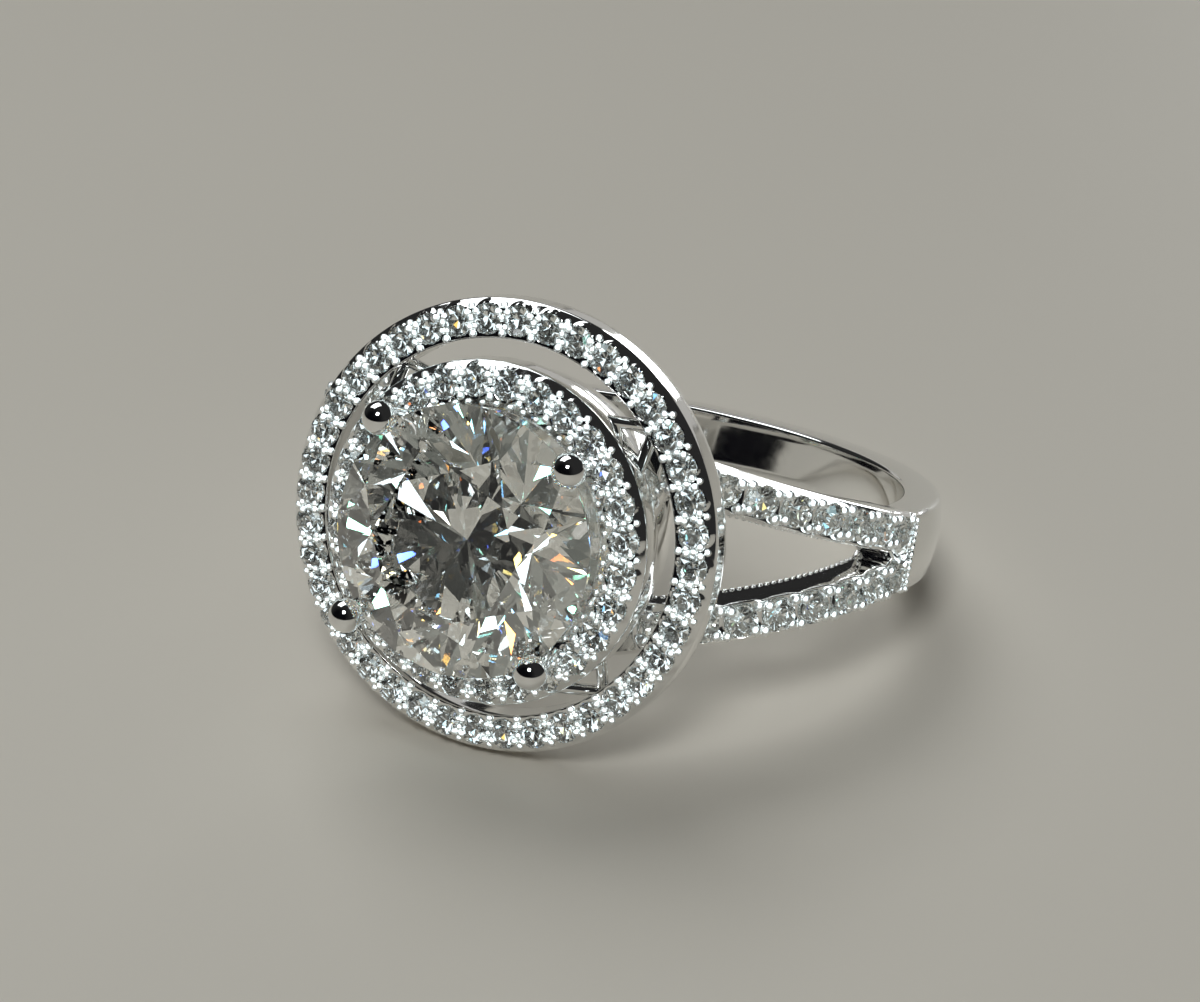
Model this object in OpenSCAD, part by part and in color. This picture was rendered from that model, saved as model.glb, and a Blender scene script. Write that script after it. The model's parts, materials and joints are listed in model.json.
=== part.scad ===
// Halo ring: a round brilliant in four ball claws, over a raised inner halo and a flat outer halo,
// on a split shank set with small stones. Millimetres, lying on its side on the floor z = 0.
// The pieces are drawn about the finger's centre, with x across the ring, y along the finger and
// z towards the centre stone, and on_floor() then lays the whole ring down.

/* [Centre stone] */
// Diameter of the stone at its girdle
stone_d = 7.5; // [7.3:0.1:7.7]
// Height of the girdle's lower edge over the finger's axis
girdle_h = 12.1; // [12.0:0.05:12.3]
// Thickness of the girdle
girdle_t = 0.12; // [0.06:0.02:0.2]
// Width of the table, as a share of the stone's diameter
table_share = 0.57; // [0.53:0.01:0.6]
// Slope of the crown's main facets, in degrees
crown_slope = 34.5; // [33:0.5:35.5]
// Slope of the pavilion's main facets, in degrees
pavilion_slope = 40.8; // [40.2:0.2:41.2]
// Reach of the star facets from the table to the girdle
star_share = 0.5; // [0.45:0.01:0.55]
// Reach of the lower girdle facets from the girdle to the culet
lower_share = 0.77; // [0.7:0.01:0.8]

/* [Claws] */
// Thickness of a claw's wire
claw_d = 0.7; // [0.6:0.05:0.75]
// Diameter of the ball at a claw's tip
claw_ball_d = 0.95; // [0.85:0.05:1]
// How far a ball's centre stands outside the girdle
claw_out = 0.23; // [0.2:0.01:0.26]
// How far a ball's centre stands above the girdle
claw_up = 0.38; // [0.34:0.01:0.42]
// Turn of the first claw from the side of the ring, in degrees
claw_turn = 43; // [40:1:48]

/* [Halos] */
// Outside diameter of the outer halo
outer_d = 12.8; // [12.6:0.1:13]
// Width of the outer halo
outer_w = 1.1; // [1.08:0.01:1.16]
// Height of the outer halo's wall
outer_wall = 0.8; // [0.7:0.05:0.9]
// Height of the outer halo's edge over the finger's axis
outer_h = 9.7; // [9.6:0.05:9.8]
// Width of the bevel between the outer halo's edge and its face
outer_bevel = 0.3; // [0.28:0.01:0.34]
// Outside diameter of the inner halo
inner_d = 9.6; // [9.5:0.05:9.7]
// Width of the inner halo
inner_w = 1.1; // [1.08:0.01:1.16]
// Height of the inner halo's wall
inner_wall = 0.85; // [0.75:0.05:0.9]
// Height of the inner halo's edge over the finger's axis
inner_h = 10.75; // [10.65:0.05:10.85]
// Width of the bevel between the inner halo's edge and its face
inner_bevel = 0.26; // [0.24:0.01:0.28]
// Rise of both halos' faces over their outer edges
face_rise = 0.26; // [0.2:0.02:0.3]
// Thickness of the wires that hold the outer halo
bridge_d = 0.36; // [0.3:0.02:0.4]
// Spread of each pair of bridge wires to either side, in degrees
bridge_spread = 11; // [8:1:13]

/* [Basket] */
// Outside radius of the basket at its foot
basket_foot_r = 4.25; // [4.15:0.05:4.35]
// Outside radius of the basket under the inner halo
basket_top_r = 4.5; // [4.4:0.05:4.6]
// How far the basket's wall swells between foot and top
basket_swell = 0.12; // [0.05:0.01:0.2]
// Thickness of the basket's wall
basket_t = 0.45; // [0.4:0.05:0.5]
// Height of the basket's floor over the finger's axis
basket_floor_h = 9.05; // [9:0.05:9.1]
// Radius of the opening in the basket's foot
basket_hole_r = 2.7; // [2.5:0.1:2.8]

/* [Shank] */
// Inside diameter of the ring
bore_d = 17; // [16.9:0.1:17.1]
// Thickness of the plain band at its crown
band_t = 1.3; // [1.2:0.05:1.4]
// How far the plain band's edges fall below its crown at the sides
band_crown = 0.18; // [0.12:0.01:0.2]
// Width of the band at the back
back_w = 1.9; // [1.8:0.1:2]
// Width of the band at the sides
side_w = 2.4; // [2.3:0.1:2.5]
// Angle above the side at which the plain band ends and the stones begin
plain_end = 8.8; // [8:0.2:9]
// Thickness of the arms at the side, a little less than the plain band's
arm_t = 1.2; // [1.15:0.05:1.25]
// How much thinner the arms would be right over the finger
arm_taper = 0.45; // [0.3:0.05:0.5]
// Width of one arm of the split shank
arm_w = 1.27; // [1.2:0.01:1.3]
// Angle above the side from which the shank widens
spread_from = 5.7; // [5:0.1:7]
// Widening of each half of the shank where it begins, in mm for each degree
spread = 0.026; // [0.024:0.001:0.028]
// How fast the widening grows towards the head, in mm for each degree squared
flare = 0.00008; // [0.00004:0.00001:0.00012]
// Angle above the side at which the split begins
split_from = 15.5; // [15:0.5:16.5]

/* [Small stones] */
// Diameter of each stone in the halos
halo_stone_d = 0.8; // [0.76:0.01:0.8]
// Number of stones in the outer halo
outer_count = 40; // [32:4:40]
// Number of stones in the inner halo
inner_count = 28; // [24:4:28]
// Diameter of each stone in the arms
arm_stone_d = 0.92; // [0.85:0.01:0.95]
// Number of stones along each arm
arm_count = 8; // [7:1:8]
// Angle above the side of the first stone of an arm
arm_first = 12.4; // [12.2:0.1:13]
// Angle above the side of the last stone of an arm
arm_last = 61.4; // [60:0.2:61.6]

/* [Hidden] */
$fn = 96;

metal = "gainsboro";
crystal = "aliceblue";
clear = 0.03;         // gap between a small stone and the wall of its seat
big_clear = 0.05;     // gap between the centre stone and its claws
reach = 12;           // long enough to cut right across the ring
tuck = 0.1;           // how far one soldered piece runs into the next
past_face = 1;        // how far the drilling for a stone starts above the metal
outline_steps = 9;    // straight stretches in the outline of an arm
basket_steps = 6;     // straight stretches up the basket's wall
seat_wall = 0.05;     // metal left between a halo's stones and the halo's inner side

// Radii and heights of the head
stone_r = stone_d / 2;
table_r = stone_r * table_share;
girdle_top = girdle_h + girdle_t;
table_h = girdle_top + (stone_r - table_r) * tan(crown_slope);
culet_h = girdle_h - stone_r * tan(pavilion_slope);
outer_r = outer_d / 2;
inner_r = inner_d / 2;
claw_ball_r = claw_ball_d / 2;
claw_tip_r = stone_r + claw_out;
claw_tip_h = girdle_top + claw_up;
claw_foot_r = basket_hole_r + claw_d / 2;
claw_foot_h = basket_floor_h - 2 * tuck;
basket_top_h = inner_h - inner_wall;
basket_foot_h = 7.4;  // lowest point of the foot, before it is shaped to the finger

// Radii of the shank
bore_r = bore_d / 2;
band_r = bore_r + band_t;
arm_r = bore_r + arm_t;
middle_r = (bore_r + arm_r) / 2;
band_end_h = band_r * sin(plain_end);
arm_start_h = band_end_h - 3 * tuck;
last_angle = 76;      // where the outline of the arms closes, inside the basket's foot
crown_r = (pow(side_w / 2, 2) + pow(band_crown, 2)) / (2 * band_crown);
back_edge_r = band_r - crown_r + sqrt(pow(crown_r, 2) - pow(back_w / 2, 2));
arm_end_x = 2.8;      // how near to the middle the arms run, inside the basket's foot
arm_end_h = 8.95;     // highest point of the arms, inside the basket's foot

// Small stones, as shares of their diameter
melee_table = 0.6;
melee_crown = 0.14;
melee_girdle = 0.04;
melee_pavilion = 0.41;
melee_sink = 0.02;    // how far the girdle lies below the metal's face
seat_floor = 0.08;    // room under the point of a small stone
outer_row_r = outer_r - outer_w + seat_wall + clear + halo_stone_d / 2;
inner_row_r = inner_r - inner_w + seat_wall + clear + halo_stone_d / 2;

// The ring lies on the outer halo's lower rim and on the back edge of its band
rim_h = outer_h - outer_wall;
lean = atan((outer_r - back_w / 2) / (rim_h + back_edge_r));
ground = outer_r * cos(lean) - rim_h * sin(lean);
front_y = table_h * cos(lean) + table_r * sin(lean);
back_y = back_edge_r * cos(lean) + back_w / 2 * sin(lean);
shift_y = (front_y - back_y) / 2;

function polar(r, a, h) = [r * cos(a), r * sin(a), h];
function circle_points(n, r, h, turn = 0) = [for (i = [0:n - 1]) polar(r, turn + 360 * i / n, h)];
function widening(past) = spread * past + flare * pow(past, 2);
function half_width(a) = side_w / 2 + widening(max(0, a - spread_from));
function arm_line(h) = half_width(asin(h / middle_r)) - arm_w / 2;
function face_of(r, w, h, bevel) = [[r, h], [r - bevel, h + face_rise], [r - w, h + face_rise]];
function seat_depth(d) = d * melee_pavilion + melee_sink + seat_floor;
function basket_r(s) = basket_foot_r + (basket_top_r - basket_foot_r) * s + basket_swell * sin(180 * s);

module on_floor() {
    translate([0, shift_y, ground]) rotate([90 - lean, 0, 0]) children();
}

// A straight round wire from one point to another
module wire(from, to, d) {
    v = to - from;
    translate(from)
        rotate([0, acos(v.z / norm(v)), atan2(v.y, v.x)])
            cylinder(h = norm(v), d = d);
}

// A flat shape drawn in y and z, and carried right across the ring along x
module across() {
    rotate([90, 0, 90]) translate([0, 0, -reach]) linear_extrude(2 * reach) children();
}

// A cylinder that lies along the finger
module along_finger(r) {
    rotate([90, 0, 0]) cylinder(h = 2 * reach, r = r, center = true);
}

function mirrored(points) = concat(points, [for (i = [len(points) - 1:-1:0]) [-points[i].x, points[i].y]]);

module plain_band() {
    side = [
        [back_w / 2, -band_r - tuck], [side_w / 2, 0],
        [side_w / 2, band_r * sin(spread_from)], [half_width(plain_end), band_end_h]
    ];
    intersection() {
        rotate([90, 0, 0]) rotate_extrude() intersection() {
            translate([band_r - crown_r, 0]) circle(crown_r);
            translate([bore_r, -side_w]) square([2 * band_t, 2 * side_w]);
        }
        across() polygon(mirrored(side));
    }
}

// The outline of the arms, and of the gap between them, seen from the side
function spaced(first) = [for (i = [0:outline_steps]) first + (last_angle - first) * i / outline_steps];
function outline(angles, inward) = [for (a = angles) [half_width(a) - inward, middle_r * sin(a)]];

module arms() {
    gap_tip = [0, middle_r * sin(split_from - 1)];
    difference() {
        intersection() {
            translate([0, 0, -arm_taper]) along_finger(arm_r);
            across() polygon(mirrored(outline(spaced(spread_from), 0)));
            translate([-reach, -reach, arm_start_h]) cube([2 * reach, 2 * reach, arm_end_h - arm_start_h]);
        }
        along_finger(bore_r);
        across() polygon(concat(mirrored(outline(spaced(split_from), arm_w)), [gap_tip]));
        translate([-arm_end_x, -reach, 0]) cube([2 * arm_end_x, 2 * reach, reach]);
    }
}

// The basket and the inner halo on top of it, turned as one, with a foot shaped to the finger
module basket() {
    rise = basket_top_h - basket_foot_h;
    shares = [for (i = [0:basket_steps]) i / basket_steps];
    outside = [for (share = shares) [basket_r(share), basket_foot_h + rise * share]];
    inside = [
        [inner_r - inner_w, basket_top_h],
        [basket_top_r - basket_t, basket_top_h - tuck], [basket_foot_r - basket_t, basket_floor_h],
        [basket_hole_r, basket_floor_h], [basket_hole_r, basket_foot_h]
    ];
    difference() {
        rotate_extrude() polygon(concat(
            outside, [[inner_r, basket_top_h]], face_of(inner_r, inner_w, inner_h, inner_bevel), inside
        ));
        along_finger(bore_r);
    }
}

module outer_halo() {
    rotate_extrude() polygon(concat(
        [[outer_r - outer_w, rim_h], [outer_r, rim_h]],
        face_of(outer_r, outer_w, outer_h, outer_bevel)
    ));
}

// A pair of wires at each claw, from the outer halo to the inner halo's wall
module bridges() {
    for (k = [0:3], side = [-1, 1]) {
        a = claw_turn + 90 * k;
        wire(
            polar(outer_r - outer_w + tuck, a, rim_h + outer_wall / 2),
            polar(inner_r - 2 * tuck, a + side * bridge_spread, basket_top_h + inner_wall / 3),
            bridge_d
        );
    }
}

module claws() {
    for (k = [0:3]) {
        tip = polar(claw_tip_r, claw_turn + 90 * k, claw_tip_h);
        wire(polar(claw_foot_r, claw_turn + 90 * k, claw_foot_h), tip, claw_d);
        translate(tip) sphere(claw_ball_r);
    }
}

// The room that the centre stone takes, with its gap
module stone_room() {
    rotate_extrude() polygon([
        [0, culet_h - 2 * big_clear],
        [stone_r + big_clear, girdle_h - big_clear], [stone_r + big_clear, girdle_top + big_clear],
        [table_r + big_clear, table_h + 2 * big_clear], [0, table_h + 2 * big_clear]
    ]);
}

// Puts its child at each small stone's place, with z out of the metal's face
module in_halo(count, r, h) {
    for (i = [0:count - 1])
        rotate([0, 0, claw_turn + 360 * (i + 0.5) / count]) translate([r, 0, h]) children();
}

module in_outer_halo() {
    in_halo(outer_count, outer_row_r, outer_h + face_rise) children();
}

module in_inner_halo() {
    in_halo(inner_count, inner_row_r, inner_h + face_rise) children();
}

module in_arms(side) {
    for (i = [0:arm_count - 1], row = [-1, 1]) {
        a = arm_first + (arm_last - arm_first) * i / (arm_count - 1);
        middle_h = (arm_r - seat_depth(arm_stone_d) / 2) * sin(a) - arm_taper;
        translate([0, row * arm_line(middle_h), -arm_taper])
            rotate([0, side * (90 - a), 0])
                translate([0, 0, arm_r]) children();
    }
}

// The hole drilled for a small stone
module seat(d) {
    translate([0, 0, -seat_depth(d)]) cylinder(h = seat_depth(d) + past_face, d = d + 2 * clear);
}

module mounting() {
    color(metal) on_floor() difference() {
        union() {
            plain_band();
            arms();
            basket();
            outer_halo();
            bridges();
            claws();
        }
        stone_room();
        in_outer_halo() seat(halo_stone_d);
        in_inner_halo() seat(halo_stone_d);
        for (side = [-1, 1]) in_arms(side) seat(arm_stone_d);
    }
}

// The faces between two rings of n points, and those from a ring to one point
function band_faces(n, upper, lower) =
    [for (i = [0:n - 1]) [upper + i, upper + (i + 1) % n, lower + (i + 1) % n, lower + i]];

module centre_stone() {
    table_edge = table_r * cos(22.5);
    star_r = table_edge + star_share * (stone_r - table_edge);
    star_h = table_h - tan(crown_slope) * (star_r * cos(22.5) - table_r);
    main_x = (1 - lower_share) * stone_r;
    lower_h = girdle_h - tan(pavilion_slope) * (stone_r - main_x);
    points = concat(
        circle_points(8, table_r, table_h),                      // 0 table
        circle_points(8, star_r, star_h, 22.5),                  // 8 tips of the star facets
        circle_points(16, stone_r, girdle_top),                  // 16 girdle, upper edge
        circle_points(16, stone_r, girdle_h),                    // 32 girdle, lower edge
        circle_points(8, main_x / cos(22.5), lower_h, 22.5),     // 48 tips of the lower facets
        [[0, 0, culet_h]]                                        // 56 culet
    );
    faces = concat(
        [[7, 6, 5, 4, 3, 2, 1, 0]],
        [for (k = [0:7]) [k, (k + 1) % 8, 8 + k]],
        [for (k = [0:7]) [k, 8 + k, 16 + 2 * k, 8 + (k + 7) % 8]],
        [for (k = [0:7]) [8 + k, 16 + 2 * k + 1, 16 + 2 * k]],
        [for (k = [0:7]) [8 + k, 16 + (2 * k + 2) % 16, 16 + 2 * k + 1]],
        band_faces(16, 16, 32),
        [for (k = [0:7]) [32 + 2 * k, 32 + 2 * k + 1, 48 + k]],
        [for (k = [0:7]) [32 + 2 * k + 1, 32 + (2 * k + 2) % 16, 48 + k]],
        [for (k = [0:7]) [32 + 2 * k, 48 + k, 56, 48 + (k + 7) % 8]]
    );
    color(crystal) on_floor() polyhedron(points, faces);
}

// One small stone: a table, eight crown facets, a girdle and eight pavilion facets
module melee(d) {
    top = -melee_sink;
    low = top - melee_girdle * d;
    points = concat(
        circle_points(8, d / 2 * melee_table, top + melee_crown * d),
        circle_points(8, d / 2, top),
        circle_points(8, d / 2, low),
        [[0, 0, low - (melee_pavilion - melee_girdle) * d]]
    );
    polyhedron(points, concat(
        [[7, 6, 5, 4, 3, 2, 1, 0]],
        band_faces(8, 0, 8),
        band_faces(8, 8, 16),
        [for (i = [0:7]) [16 + i, 16 + (i + 1) % 8, 24]]
    ));
}

module outer_halo_stones() {
    color(crystal) on_floor() in_outer_halo() melee(halo_stone_d);
}

module inner_halo_stones() {
    color(crystal) on_floor() in_inner_halo() melee(halo_stone_d);
}

module right_arm_stones() {
    color(crystal) on_floor() in_arms(1) melee(arm_stone_d);
}

module left_arm_stones() {
    color(crystal) on_floor() in_arms(-1) melee(arm_stone_d);
}

mounting();
centre_stone();
outer_halo_stones();
inner_halo_stones();
right_arm_stones();
left_arm_stones();
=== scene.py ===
"""Halo ring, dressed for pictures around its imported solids.

Every shape is worked out in the ring's own frame, in millimetres: x across the ring, y along the
finger and z towards the centre stone. RingPlace then lays it down in the frame's metres.
"""

import itertools
import json
import logging
import math
from collections.abc import Callable, Iterable
from dataclasses import dataclass, field
from enum import Enum

import bmesh
import bpy
import numpy as np
from bpy.types import Light, Material, Mesh, Modifier, NodeTree, Object
from mathutils import Matrix, Vector


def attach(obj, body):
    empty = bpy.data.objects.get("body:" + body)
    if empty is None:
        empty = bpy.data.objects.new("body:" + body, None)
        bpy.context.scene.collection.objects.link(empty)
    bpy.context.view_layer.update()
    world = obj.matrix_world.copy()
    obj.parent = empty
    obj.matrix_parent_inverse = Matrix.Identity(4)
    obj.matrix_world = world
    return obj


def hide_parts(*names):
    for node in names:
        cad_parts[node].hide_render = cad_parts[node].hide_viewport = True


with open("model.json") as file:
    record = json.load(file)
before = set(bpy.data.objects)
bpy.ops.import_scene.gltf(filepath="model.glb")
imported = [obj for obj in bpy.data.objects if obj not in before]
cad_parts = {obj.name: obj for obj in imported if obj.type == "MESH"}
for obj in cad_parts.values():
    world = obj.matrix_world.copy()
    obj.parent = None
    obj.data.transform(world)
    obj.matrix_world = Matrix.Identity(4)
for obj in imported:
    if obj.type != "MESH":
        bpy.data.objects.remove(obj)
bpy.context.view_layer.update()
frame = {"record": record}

LOG = logging.getLogger("halo_ring")
MM = 0.001
BODY = "root"
UP = (0.0, 0.0, 1.0)
QUARTERS = (0.25, 0.5, 0.75)

# Angles in degrees: parts of a turn, then how far faces may bend and still be one facet, and
# past which bend an edge stays sharp.
FULL_TURN = 360.0
EIGHTH = 45.0
SIXTEENTH = 22.5
GOLDEN_TURN = 137.508
FACET_BEND = 0.4
METAL_SHARP = 38.0
BAND_SHARP = 50.0
GRAIN_SHARP = 80.0

Colour = tuple[float, float, float]


class Slot(Enum):
    """The record's material slots."""

    METAL = "white_metal"
    CENTRE = "centre_crystal"
    SMALL = "small_crystal"


class Node(Enum):
    """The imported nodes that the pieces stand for."""

    MOUNTING = "mounting"
    CENTRE = "centre_stone"
    OUTER = "outer_halo_stones"
    INNER = "inner_halo_stones"
    RIGHT = "right_arm_stones"
    LEFT = "left_arm_stones"


class Side(Enum):
    """The two sides of the ring, as signs of x."""

    RIGHT = 1
    LEFT = -1


@dataclass(frozen=True)
class RingPlace:
    """Where the ring lies: its centre in metres, and the finger's direction."""

    centre: Vector
    finger: Vector

    @classmethod
    def from_record(cls, record: dict) -> "RingPlace":
        """Reads the place from the record's bore mount."""
        bore = next(m for m in record["mounts"] if m["name"] == "finger_bore")
        return cls(Vector(bore["pos_m"]), Vector(bore["axis"]).normalized())

    def matrix(self) -> Matrix:
        """Builds the matrix from the ring's millimetres to the frame's metres.

        Returns:
            The matrix.
        """
        across = Vector((1.0, 0.0, 0.0))
        turn = Matrix((across, self.finger, across.cross(self.finger))).transposed().to_4x4()
        return Matrix.Translation(self.centre) @ turn @ Matrix.Scale(MM, 4)

    def point(self, x: float, y: float, z: float) -> Vector:
        """Returns one point of the ring's frame in the frame's metres."""
        return self.matrix() @ Vector((x, y, z))


def polar(radius: float, angle: float, height: float) -> tuple[float, float, float]:
    """Returns the point at a radius and an angle in degrees about the head's axis."""
    turn = math.radians(angle)
    return radius * math.cos(turn), radius * math.sin(turn), height


def eight(radius: float, height: float, first: float = 0.0) -> list[tuple]:
    """Returns eight even points round the head's axis."""
    return [polar(radius, first + EIGHTH * k, height) for k in range(8)]


def rounding(distance: np.ndarray, radius: float) -> np.ndarray:
    """Returns how far an edge's rounding falls below the flat, at distances from the edge."""
    inside = np.clip(1.0 - distance / radius, 0.0, 1.0)
    return radius * (1.0 - np.sqrt(1.0 - inside**2))


def arc(start: float, end: float, count: int) -> np.ndarray:
    """Returns count angles in radians from start to end, given in degrees."""
    return np.radians(np.linspace(start, end, count))


def corner(soft: float, start: float, end: float, count: int = 4) -> np.ndarray:
    """Returns how far a rounded corner's points stand in from its two sides, in pairs."""
    angles = arc(start, end, count)
    return soft * np.stack([1 - np.cos(angles), 1 - np.sin(angles)], axis=-1)


def blend(start: float, end: float, share: float) -> float:
    """Returns the value at a share of the way from start to end, also of arrays."""
    return start * (1 - share) + end * share


def show(data: bpy.types.ID, name: str) -> Object:
    """Puts a mesh, a light or a camera in the scene.

    Args:
        data: what is shown.
        name: the object's name.

    Returns:
        The object.
    """
    shown = bpy.data.objects.new(name, data)
    bpy.context.scene.collection.objects.link(shown)
    return shown


def drop(thing: Object) -> None:
    """Takes a helper object and its mesh away.

    Args:
        thing: the helper.
    """
    mesh = thing.data
    bpy.data.objects.remove(thing)
    bpy.data.meshes.remove(mesh)


def baked(piece: Object, modifier: Modifier) -> Mesh:
    """Turns what a modifier makes of a piece into a plain mesh, and removes the modifier.

    Args:
        piece: the object.
        modifier: its modifier.

    Returns:
        The mesh.
    """
    bpy.context.view_layer.update()
    graph = bpy.context.evaluated_depsgraph_get()
    made = bpy.data.meshes.new_from_object(piece.evaluated_get(graph))
    piece.modifiers.remove(modifier)
    return made


def to_mesh(work: bmesh.types.BMesh, name: str) -> Mesh:
    """Turns a working mesh into a kept one, with its faces outwards.

    Args:
        work: the working mesh, which is freed.
        name: the kept mesh's name.

    Returns:
        The kept mesh.
    """
    bmesh.ops.recalc_face_normals(work, faces=work.faces)
    made = bpy.data.meshes.new(name)
    work.to_mesh(made)
    work.free()
    return made


def feed(node: bpy.types.Node, feeds: dict) -> bpy.types.Node:
    """Feeds a node's inputs.

    Args:
        node: the node.
        feeds: for each input, by name or number, a value, a socket, or a node for its main output.

    Returns:
        The node.
    """
    for key, value in feeds.items():
        named = (s for s in node.inputs if s.name == key and s.enabled)
        socket = node.inputs[key] if isinstance(key, int) else next(named)
        if isinstance(value, bpy.types.Node):
            value = next(s for s in value.outputs if s.enabled)
        if isinstance(value, bpy.types.NodeSocket):
            node.id_data.links.new(value, socket)
        else:
            socket.default_value = (*value, 1.0) if socket.type == "RGBA" else value
    return node


def add_node(
    tree: NodeTree, kind: str, feeds: dict | None = None, **settings: object
) -> bpy.types.Node:
    """Adds a node to a tree.

    Args:
        tree: the tree.
        kind: the node's type.
        feeds: what feeds its inputs, as in feed().
        settings: the node's own settings.

    Returns:
        The node.
    """
    made = tree.nodes.new(kind)
    for key, value in settings.items():
        setattr(made, key, value)
    return feed(made, feeds or {})


def mix(tree: NodeTree, share: object, below: object, above: object) -> bpy.types.Node:
    """Adds a mix of two colours, each given as a colour, a socket or a node."""
    feeds = {"Factor": share, "A": below, "B": above}
    return add_node(tree, "ShaderNodeMix", feeds, data_type="RGBA")


class Shell:
    """Closed skins, gathered ring by ring, that become one piece."""

    def __init__(self) -> None:
        """Starts with no skin."""
        self.points: list[np.ndarray] = []
        self.faces: list[tuple[int, ...]] = []
        self.count = 0

    def tube(self, rings: np.ndarray, joined: bool, crown: float = 0.0) -> None:
        """Adds a skin over closed rings of points.

        Args:
            rings: points as (rings, points in a ring, 3).
            joined: True if the last ring meets the first, and False to cap both ends.
            crown: how far the middle of the first cap stands above its ring.
        """
        many, around, _ = rings.shape
        index = self.count + np.arange(many * around).reshape(many, around)
        after = np.roll(index, -1, axis=1)
        quads = np.stack([index, after, np.roll(after, -1, axis=0), np.roll(index, -1, axis=0)], -1)
        self.faces.extend(map(tuple, quads[: many if joined else many - 1].reshape(-1, 4).tolist()))
        self.points.append(rings.reshape(-1, 3))
        self.count += many * around
        if not joined:
            for end, rise in ((0, crown), (-1, 0.0)):
                self.points.append(rings[end].mean(axis=0, keepdims=True) + (0.0, 0.0, rise))
                pairs = zip(index[end].tolist(), after[end].tolist())
                self.faces.extend((near, far, self.count) for near, far in pairs)
                self.count += 1

    def mesh(self, name: str, sharp: float) -> Mesh:
        """Makes the mesh, smooth but for its sharp edges.

        Args:
            name: the mesh's name.
            sharp: the angle in degrees past which an edge stays sharp.

        Returns:
            The mesh, in millimetres.
        """
        rough = bpy.data.meshes.new("rough")
        rough.from_pydata(np.concatenate(self.points).tolist(), [], self.faces)
        work = bmesh.new()
        work.from_mesh(rough)
        bpy.data.meshes.remove(rough)
        bmesh.ops.recalc_face_normals(work, faces=work.faces)
        for face in work.faces:
            face.smooth = True
        for edge in work.edges:
            edge.smooth = edge.calc_face_angle(0.0) < math.radians(sharp)
        return to_mesh(work, name)


def new_material(name: str) -> tuple[Material, NodeTree, bpy.types.Node]:
    """Starts a node material.

    Args:
        name: the material's name.

    Returns:
        The material, its node tree and its surface shader.
    """
    made = bpy.data.materials.new(name)
    made.use_nodes = True
    return made, made.node_tree, made.node_tree.nodes["Principled BSDF"]


@dataclass(frozen=True)
class MetalFinish:
    """A polished white metal with fine polishing marks."""

    name: str
    tint: Colour = (0.90, 0.90, 0.89)
    smoothest: float = 0.035
    roughest: float = 0.11
    mark_size: float = 0.25
    mark_range: tuple = (0.35, 0.75)
    mark_detail: float = 4.0
    wave: float = 0.02
    wave_size: float = 4.0
    wave_detail: float = 1.0

    def material(self) -> Material:
        """Builds the finish, which reads Object coordinates.

        Returns:
            The material.
        """
        made, tree, shader = new_material(self.name)
        place = add_node(tree, "ShaderNodeTexCoord").outputs["Object"]
        marks, swell = (
            add_node(tree, "ShaderNodeTexNoise", {
                "Vector": place, "Scale": 1.0 / (size * self.mark_size * MM), "Detail": detail,
            })
            for size, detail in ((1.0, self.mark_detail), (self.wave_size, self.wave_detail))
        )
        least, most = self.mark_range
        spread = add_node(tree, "ShaderNodeMapRange", {
            "Value": marks, "From Min": least, "From Max": most,
            "To Min": self.smoothest, "To Max": self.roughest,
        })
        bump = add_node(tree, "ShaderNodeBump", {
            "Height": swell, "Strength": 1.0, "Distance": self.wave * MM,
        })
        feed(shader, {
            "Base Color": self.tint, "Metallic": 1.0, "Roughness": spread, "Normal": bump,
        })
        return made


@dataclass(frozen=True)
class CrystalFinish:
    """A colourless cut stone, clear and highly refractive."""

    name: str
    tint: Colour = (0.99, 0.995, 1.0)
    index: float = 2.65

    def material(self) -> Material:
        """Builds the finish.

        Returns:
            The material.
        """
        made, _, shader = new_material(self.name)
        feed(shader, {
            "Base Color": self.tint, "Roughness": 0.0, "IOR": self.index,
            "Transmission Weight": 1.0,
        })
        return made


@dataclass(frozen=True)
class Finishes:
    """All the finishes of the ring."""

    shank: Material
    setting: Material
    grain: Material
    centre: Material
    small: Material

    @classmethod
    def mixed(cls) -> "Finishes":
        """Builds every finish once.

        Returns:
            The finishes.
        """
        kinds = (
            MetalFinish("polished_shank", smoothest=0.05, roughest=0.09, wave=0.003),
            MetalFinish("polished_setting", mark_size=0.2, wave=0.004),
            # Painted highlight: the grains are the same white metal as the rest, but get a lighter
            # tint so that they read as bright, lit beads. Only their higher roughness is their own.
            MetalFinish(
                "raised_grain", (0.94, 0.94, 0.93), smoothest=0.26, roughest=0.38,
                mark_size=0.1, wave=0.006,
            ),
            CrystalFinish("centre_crystal_cut"),
            CrystalFinish("small_crystal_cut", tint=(0.97, 0.985, 1.0), index=2.2),
        )
        return cls(*(kind.material() for kind in kinds))


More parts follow.
